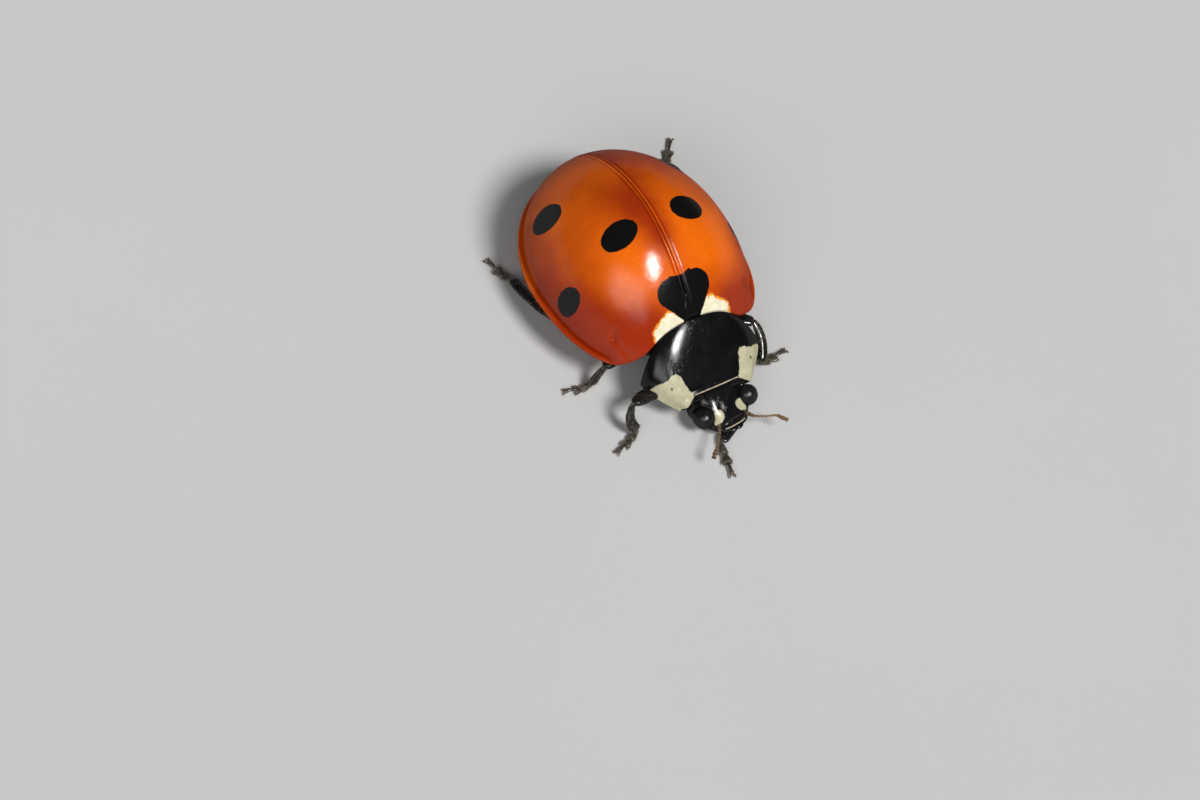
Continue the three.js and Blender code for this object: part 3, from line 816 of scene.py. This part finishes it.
feelers = {
    "left": [(0.5, -4.67, 0.5), (0.55, -4.9, 0.6), (0.645, -5.03, 0.67), (0.791, -5.15, 0.72),
             (1.006, -5.25, 0.74), (1.09, -5.36, 0.73), (1.2, -5.488, 0.71)],
    "right": [(-0.285, -4.7, 0.5), (-0.445, -4.99, 0.61), (-0.66, -5.26, 0.68), (-0.85, -5.46, 0.68),
              (-1.003, -5.62, 0.66)],
    # lengths and widths of the eleven joints
    "lengths": [0.17, 0.09, 0.13, 0.09, 0.08, 0.075, 0.075, 0.07, 0.085, 0.085, 0.09],
    "widths": [0.105, 0.08, 0.06, 0.056, 0.054, 0.054, 0.056, 0.06, 0.092, 0.118, 0.108],
    "samples": 400, "rows": 18, "flat": 0.9, "neck": 0.45, "clubFrom": 8, "bristles": (26, 0.045),
}
palps = {"root": (0.2, -4.5, 0.35), "tip": (0.25, -4.78, 0.32),
         "joints": [(0, 0.38, 0.1), (0.32, 0.62, 0.11)],  # from, to and width
         "hatchetFrom": 0.56, "hatchet": (0.09, 0.18), "flat": 0.5}
tufts = {"legs": [], "feet": [], "feelers": []}  # each holds skins, with their number of bristles and length


def bead(path, width):
    t = linspace(0, 1, len(path))
    shape = feelers["neck"] + (1 - feelers["neck"]) * sin(clip(t * 1.05, 0, 1) * math.pi * 0.62) ** 0.8
    shape *= roundEnds(t, 0.05, 0.16)
    return sweep(path, shape * width, shape * width * feelers["flat"], 16)


def buildFeelers():
    ends = concatenate([[0], np.cumsum(feelers["lengths"])])
    ends = (ends / ends[-1] * (feelers["samples"] - 1)).astype(int)
    for word, side in sides.items():
        course = smoothPath(feelers[word], feelers["samples"])
        parts, shade = [], []
        for i, width in enumerate(feelers["widths"]):
            at = linspace(max(0, ends[i] - 4), ends[i + 1], feelers["rows"]).astype(int)
            parts.append(bead(course[at], width))
            t = linspace(0, 1, feelers["rows"])[:, None] * np.ones((1, parts[-1].shape[1]))
            shade.append(where(t > 0.8, -0.02, 0.06) - (0.05 if i >= feelers["clubFrom"] else 0.0))
        nodes = [f"antenna_{word}_{part}" for part in ("scape", "stem", "club")]
        makePiece("feeler_" + word, joinParts(*parts), "feelerBrown", {"paleEdge": stack(shade)}, nodes)
        # palp: three joints, the last a broad hatchet
        a, b = (array(palps[end]) * (side, 1, 1) for end in ("root", "tip"))
        palp = [bead(alongLine(a + (b - a) * low, a + (b - a) * high, linspace(0, 1, 16)), width)
                for low, high, width in palps["joints"]]
        t = linspace(0, 1, 22)
        narrow, broad = palps["hatchet"]
        wide = (narrow + (broad - narrow) * t) * roundEnds(t, 0.08, 0.1)
        path = alongLine(a + (b - a) * palps["hatchetFrom"], b, t)
        palp.append(sweep(path, wide, wide * palps["flat"], 20))
        skin = joinParts(*[turned(grid) for grid in palp])
        makePiece("palp_" + word, skin, "footBrown", {"paleEdge": 0.06}, ["palp_" + word])
        tufts["feelers"] += [(grid, *feelers["bristles"]) for grid in parts]
    print("feelers made")


# legs

legs = {  # root, knee, ankle and tip
    "front_right": [(-0.62, -3.25, 0.8), (-2.03, -3.54, 1.1), (-2.01, -3.75, 0.24), (-2.76, -4.05, 0.0)],
    "front_left": [(0.62, -3.25, 0.8), (0.7, -4.4, 0.27), (-0.36, -4.98, 0.18), (-0.6, -5.96, 0.0)],
    "middle_right": [(-0.7, -1.65, 0.8), (-1.98, -2.12, 0.88), (-2.27, -2.02, 0.24), (-2.95, -1.82, 0.0)],
    "middle_left": [(0.7, -1.65, 0.8), (1.93, -2.6, 0.88), (1.76, -3.37, 0.24), (2.61, -3.24, 0.0)],
    "hind_right": [(-0.85, 0.05, 0.8), (-2.4, -0.1, 0.8), (-2.38, 1.66, 0.27), (-2.55, 2.63, 0.0)],
    "hind_left": [(0.95, 0.2, 0.8), (2.62, 1.42, 0.87), (2.9, 3.03, 0.27), (3.55, 3.85, 0.0)],
}
bowing = {"front_right": (-0.17, -0.02, 0), "middle_left": (0.14, 0.02, 0), "hind_left": (0.13, 0.02, 0)}
coxae = {"front": (0.5, -3.2, 0.3), "middle": (0.6, -1.6, 0.32), "hind": (0.75, -0.02, 0.42)}
legShape = {
    "rows": 44, "around": 26,
    "hip": (0.44, 0.4), "ring": (0.24, 0.22), "thigh": (0.4, 0.26), "shin": (0.27, 0.17),
    "underHead": "front_left", "lowThigh": 0.75, "lowShin": 0.8,  # this leg is thinner under the head
    "bristles": {"thigh": (110, 0.07), "shin": (210, 0.1)},
}
stops = {  # widths along each part, as shares of its length and width
    "hip": [(0.04, 0.5), (0.3, 1), (0.7, 1), (0.94, 0.6)],
    "ring": [(0.1, 0.7), (0.5, 1), (0.9, 0.8)],
    "thigh": [(0.03, 0.45), (0.25, 0.85), (0.55, 1.0), (0.82, 0.9), (0.97, 0.62)],
    "shin": [(0.03, 0.5), (0.2, 0.78), (0.6, 1.0), (0.85, 1.05), (0.97, 0.95)],
    "spur": [(0.02, 1), (0.5, 0.7), (0.95, 0.15)],
}
footJoints = [  # from and to (share of the foot, height), width, height, arch, widths along it
    ((-0.03, None), (0.33, 0.085), 0.2, 0.13, 0.0, [(0.04, 0.45), (0.4, 0.75), (0.85, 1.05), (0.97, 0.8)]),
    ((0.25, 0.095), (0.6, 0.07), 0.25, 0.12, 0.0, [(0.04, 0.35), (0.4, 0.7), (0.8, 1.1), (0.97, 0.85)]),
    ((0.5, 0.1), (0.64, 0.1), 0.09, 0.08, 0.0, [(0.05, 0.8), (0.9, 0.9)]),
    ((0.56, 0.1), (0.93, 0.085), 0.105, 0.095, 0.035, [(0.04, 0.45), (0.5, 0.75), (0.9, 1.1), (0.97, 0.9)]),
]
footBristles = {0: (190, 0.085), 1: (230, 0.085), 3: (60, 0.06)}
claw = {  # share of the foot, height and distance aside
    "hook": [(0.91, 0.095, 0.018), (0.945, 0.115, 0.045), (0.985, 0.085, 0.07), (1.0, 0.012, 0.072)],
    "tooth": [(0.945, 0.085, 0.042), (0.965, 0.062, 0.05), (0.968, 0.035, 0.048)],
    "thickness": (0.042, 0.032), "tip": 0.0005,
}


def limbPart(start, end, width, height, widths, sag=(0, 0, 0), edge=2.0):
    t, shape = profile(legShape["rows"], widths)
    along = unit(np.subtract(end, start))
    top = (0, 0, 1) if abs(along[2]) < 0.8 else (0, 1, 0)
    return sweep(alongLine(start, end, t, sag), shape * width, shape * height, legShape["around"], top, edge)


def buildLeg(name):
    root, knee, ankle, tip = (np.asarray(p, float) for p in legs[name])
    side = 1 if name.endswith("left") else -1
    low = name == legShape["underHead"]
    cx, cy, wide = coxae[name.split("_")[0]]
    inner, outer = (side * (cx - wide), cy, 0.86), (side * (cx + wide), cy, 0.8)
    hip = limbPart(inner, outer, *legShape["hip"], stops["hip"])
    toKnee, toAnkle = unit(knee - root), unit(ankle - knee)
    ring = limbPart(root - toKnee * 0.1, root + toKnee * 0.22, *legShape["ring"], stops["ring"])
    thin = legShape["lowThigh"] if low else 1.0
    width, height = legShape["thigh"]
    thigh = limbPart(root + toKnee * 0.06, knee + toKnee * 0.07, width * thin, height * thin, stops["thigh"],
                     (0, 0, 0.03), 2.3)
    thin = legShape["lowShin"] if low else 1.0
    width, height = legShape["shin"]
    bow = bowing.get(name, (side * 0.03, 0, 0))
    shin = limbPart(knee - toAnkle * 0.05, ankle, width, height * thin, stops["shin"], bow, 1.75)
    parts = [hip, ring, thigh, shin]
    for turn in (-1, 1):  # two spurs at the end of the shin
        spur = ankle - toAnkle * 0.04 + array((toAnkle[1], -toAnkle[0], 0)) * 0.06 * turn
        parts.append(limbPart(spur, spur + toAnkle * 0.1 + (0, 0, -0.03), 0.03, 0.03, stops["spur"]))
    t = linspace(0, 1, legShape["rows"])[:, None]
    # pale along each part's flanks, a painted highlight, and paler at its far end
    ridge = abs(sin(bearings(legShape["around"])))
    pale = [0.02 + 0.1 * ridge - 0.06 * smoothStep(0.93, 1.0, t)] * len(parts)
    nodes = [f"leg_{name}_{part}" for part in ("coxa", "femur", "tibia")]
    makePiece("leg_" + name, joinParts(*parts), "legBlack", {"paleEdge": pale}, nodes)
    tufts["legs"] += [(thigh, *legShape["bristles"]["thigh"]), (shin, *legShape["bristles"]["shin"])]
    buildFoot(name, ankle, tip)


def buildFoot(name, ankle, tip):
    # two lobed joints with brush soles, a hidden joint, and the claw joint
    flat = array((tip[0] - ankle[0], tip[1] - ankle[1], 0))
    length = np.linalg.norm(flat)
    ahead = flat / length
    across = array((ahead[1], -ahead[0], 0))
    start = array((ankle[0], ankle[1], 0))

    def at(share, height, aside=0.0):
        return start + ahead * length * share + (0, 0, height) + across * aside

    parts = []
    for (share, z), end, width, height, arch, widths in footJoints:
        first = at(share, ankle[2] - 0.02 if z is None else z)
        parts.append(limbPart(first, at(*end), width, height, widths, (0, 0, arch), 2.2))
    for grid in parts[:2]:  # the front of each lobed joint is notched
        t = linspace(0, 1, grid.shape[0])[:, None, None]
        off = (grid - grid.mean(1, keepdims=True)) @ across
        grid -= (ahead * 0.1) * (smoothStep(0.75, 1, t) * hill((off[..., None], 0.035)))
    for grid in parts:
        grid[..., 2] = maximum(grid[..., 2], lowest["foot"])
    pale = [np.repeat(linspace(0.06, -0.03, legShape["rows"]), legShape["around"])] * len(parts)
    makePiece("foot_" + name, joinParts(*parts), "footBrown", {"paleEdge": pale}, [f"leg_{name}_tarsus"])
    tufts["feet"] += [(parts[i], *bristle) for i, bristle in footBristles.items()]

    claws = []
    hookWidth, toothWidth = claw["thickness"]
    for turn in (-1, 1):
        hook = smoothPath([at(share, height, aside * turn) for share, height, aside in claw["hook"]], 26)
        t = linspace(0, 1, len(hook))
        thick = hookWidth * (1 - t) ** 0.6 * sqrt(clip(t / 0.05, 0, 1)) + claw["tip"]
        claws.append(sweep(hook, thick, thick * 1.4, 12, across))
        tooth = smoothPath([at(share, height, aside * turn) for share, height, aside in claw["tooth"]], 12)
        t = linspace(0, 1, len(tooth))
        thick = toothWidth * (1 - t) ** 0.7 + claw["tip"]
        claws.append(sweep(tooth, thick, thick, 10, across))
    makePiece("claws_" + name, joinParts(*claws), "clawAmber", {})


def buildLegs():
    for name in legs:
        buildLeg(name)
    print("legs made")


# bristles

bristles = {
    "thickness": 0.0075, "rise": 0.45, "riseSpread": (-0.15, 0.35), "scatter": 0.16, "curve": 0.25,
    "levels": [(-0.06, 1.0), (0.45, 0.75), (1.0, 0.12)],  # share of its length and of its thickness
    "patch": 0.003,  # size of each bristle's own place in the unwrap
    "patchShape": [(0, 0), (1, 0), (0.5, 1), (0, 0.5), (1, 0.5), (0.5, 0.8), (0.2, 1), (0.8, 1), (0.5, 0.2)],
    "slots": {"legs": "leg_black", "feet": "foot_brown", "feelers": "feeler_brown"},
    "down": {"count": 4200, "x": (-1.9, 1.9), "y": (-2.2, 2.6), "length": (0.05, 0.1), "within": 0.93},
}


def hairs(roots, normals, along, lengths, places, name):
    # each bristle is a thin curved three-sided cone lying back along the limb
    n = len(roots)
    rise = bristles["rise"] + chance.uniform(*bristles["riseSpread"], (n, 1))
    lean = unit(along + normals * rise + chance.normal(0, bristles["scatter"], (n, 3)))
    side = unit(np.cross(lean, normals))
    other = np.cross(side, lean)
    rings = []
    for share, thick in bristles["levels"]:
        bend = normals * (lengths * bristles["curve"] * share**2)[:, None]
        middle = roots + lean * (lengths * share)[:, None] - bend
        for a in bearings(3):
            rings.append(middle + (side * cos(a) + other * sin(a)) * bristles["thickness"] / 2 * thick)
    points = stack(rings, 1)
    per = len(rings)
    points[..., 2] = maximum(points[..., 2], lowest["bristle"])
    one = gridFaces(3, 3, around=True) + [[2, 1, 0], [6, 7, 8]]
    faces = [[i * per + v for v in face] for i in range(n) for face in one]
    mesh = newMesh(name, points.reshape(-1, 3), faces, finish["bristlePale"])
    mesh.polygons.foreach_set("use_smooth", [True] * len(mesh.polygons))
    layer = mesh.uv_layers.new(name="OFBake")
    index = np.zeros(len(mesh.loops), np.int64)
    mesh.loops.foreach_get("vertex_index", index)
    corner = array(bristles["patchShape"])[index % per]
    layer.data.foreach_set("uv", (places[index // per] + (corner - 0.5) * bristles["patch"]).ravel())
    addPiece(name, mesh)


def onGrid(grid, count, island, islands):
    # random places on a limb's skin, with their place on an unwrap that has one square for each limb part
    rows, around = grid.shape[:2]
    r = chance.uniform(0.06, 0.94, count) * (rows - 1)
    c = chance.uniform(0, around, count)
    r0, c0 = r.astype(int), c.astype(int)
    fr, fc = (r - r0)[:, None], (c - c0)[:, None]
    c1, c0 = (c0 + 1) % around, c0 % around
    a = grid[r0, c0] * (1 - fc) + grid[r0, c1] * fc
    b = grid[r0 + 1, c0] * (1 - fc) + grid[r0 + 1, c1] * fc
    point = a * (1 - fr) + b * fr
    along = unit(grid[minimum(r0 + 1, rows - 1)].mean(1) - grid[maximum(r0 - 1, 0)].mean(1))
    normal = point - grid[r0].mean(1)
    normal = unit(normal - along * np.sum(normal * along, 1, keepdims=True))
    columns = math.ceil(sqrt(islands))
    size = 1 / columns
    corner = array((island % columns, island // columns)) * size
    uv = corner + stack([r / (rows - 1), c / around], 1) * size * 0.9 + size * 0.05
    return point, normal, along, uv


def buildBristles():
    for group, slot in bristles["slots"].items():
        sets = [onGrid(grid, count, i, len(tufts[group])) for i, (grid, count, _) in enumerate(tufts[group])]
        lengths = concatenate([chance.uniform(0.6, 1.1, count) * long for _, count, long in tufts[group]])
        point, normal, along, uv = (concatenate(part) for part in zip(*sets))
        keep = point[:, 2] > 0.012
        hairs(point[keep], normal[keep], along[keep], lengths[keep], uv[keep], "bristles_" + group)
    # short down on the underside, laid back towards the tail
    down = bristles["down"]
    x, y = chance.uniform(*down["x"], down["count"]), chance.uniform(*down["y"], down["count"])
    share = hypot(x, y) / (outlineRadius(np.arctan2(y, x)) - belly["inset"])
    keep = share < down["within"]
    x, y, share = x[keep], y[keep], share[keep]
    roots = stack([x, y, bellySurface(x, y, -np.arccos(share ** (1 / belly["power"])))], 1)
    out = unit(stack([x * 0.12, y * 0.12, -np.ones_like(x)], 1))
    back = np.tile((0.0, 1.0, 0.0), (len(x), 1))
    places = stack([0.5 + x / 5.6, 0.5 + y / 5.6], 1)
    lengths = chance.uniform(*down["length"], len(x))
    hairs(roots, out, back, lengths, places, "bristles_belly")
    print("bristles made")


# floor, light and camera

studio = {
    "floorSize": 16.0, "floorDrop": 0.00001, "floor": ((0.54, 0.535, 0.525), (0.575, 0.57, 0.56)),
    "horizon": (0.565, 0.565, 0.56), "sky": (0.085, 0.09, 0.1),
    "key": {"from": (0.048, -0.627, 0.777), "angle": 15.0, "strength": 3.1},
    "window": {"azimuth": -47.0, "elevation": 37.0, "strength": 3.6,
               "across": (0.26, 0.52), "up": (0.08, 0.26)},  # where its fading edges begin and end
}
view = {
    "back": (-0.3633, -0.4928, 0.7907), "right": (0.8567, -0.5102, 0.0757), "up": (0.3661, 0.7048, 0.6075),
    "scale": 0.902, "away": 200.0, "aimHeight": 0.25, "slideRight": -0.797, "slideUp": -2.955, "lens": 219.54,
}


def buildFloor():
    bpy.ops.mesh.primitive_plane_add(size=studio["floorSize"], location=(0, 0, -studio["floorDrop"]))
    floor = bpy.context.object
    floor.name = "studioFloor"
    m, shader = newFinish("paleFloor")
    colourOf(m, shader, blendColour(m, grain(m, 0.05, 4.0), *studio["floor"]))
    shader.inputs["Roughness"].default_value = 0.9
    floor.data.materials.append(m)


def buildSky():
    world = bpy.data.worlds.new("studioSky")
    bpy.context.scene.world = world
    world.use_nodes = True
    direction = wire(world, "TexCoord").outputs["Generated"]
    height = wire(world, "SeparateXYZ", {0: direction}).outputs["Z"]
    sky = blendColour(world, spread(world, height, 0.03, 0.2), studio["horizon"], studio["sky"])
    # a soft window of light painted on the sky
    w = studio["window"]
    azimuth, elevation = radians(w["azimuth"]), radians(w["elevation"])
    flat = Vector((sin(azimuth), -cos(azimuth), 0)) * cos(elevation)
    facing = flat + Vector((0, 0, sin(elevation)))
    sideways = Vector((cos(azimuth), sin(azimuth), 0))

    def offset(axis):
        return wire(world, "VectorMath", {0: direction, 1: axis}, operation="DOT_PRODUCT").outputs["Value"]

    masks = [spread(world, maths(world, "ABSOLUTE", offset(axis)), full, none, 1.0, 0.0)
             for axis, (full, none) in ((sideways, w["across"]), (facing.cross(sideways), w["up"]))]
    ahead = maths(world, "GREATER_THAN", offset(facing), 0.2)
    pane = maths(world, "MULTIPLY", maths(world, "MULTIPLY", *masks), ahead)
    sky = blendColour(world, pane, sky, (w["strength"],) * 3)
    world.node_tree.links.new(sky, world.node_tree.nodes["Background"].inputs[0])


def buildStudio():
    buildFloor()
    buildSky()
    key = studio["key"]
    light = bpy.data.lights.new("keyLight", "SUN")
    light.energy, light.angle = key["strength"], radians(key["angle"])
    lamp = bpy.data.objects.new("keyLight", light)
    lamp.rotation_euler = Vector(key["from"]).normalized().to_track_quat("Z", "Y").to_euler()
    bpy.context.scene.collection.objects.link(lamp)
    back, right, up = (Vector(view[k]).normalized() for k in ("back", "right", "up"))
    camera = bpy.data.cameras.new("camera")
    camera.lens, camera.sensor_width = view["lens"], 36.0
    camera.clip_start, camera.clip_end = 0.005, 20.0
    eye = bpy.data.objects.new("camera", camera)
    aim = Vector((0, crownY, view["aimHeight"])) * mm
    slide = back * view["away"] + right * view["slideRight"] + up * view["slideUp"]
    eye.location = aim + slide * view["scale"] * mm
    eye.rotation_euler = Matrix((right, up, back)).transposed().to_euler()
    bpy.context.scene.collection.objects.link(eye)
    bpy.context.scene.camera = eye
    bpy.context.scene.view_settings.view_transform = "Standard"
    print("studio made")


buildWingCases()
buildShield()
buildBelly()
buildHead()
buildFeelers()
buildLegs()
buildBristles()
buildStudio()
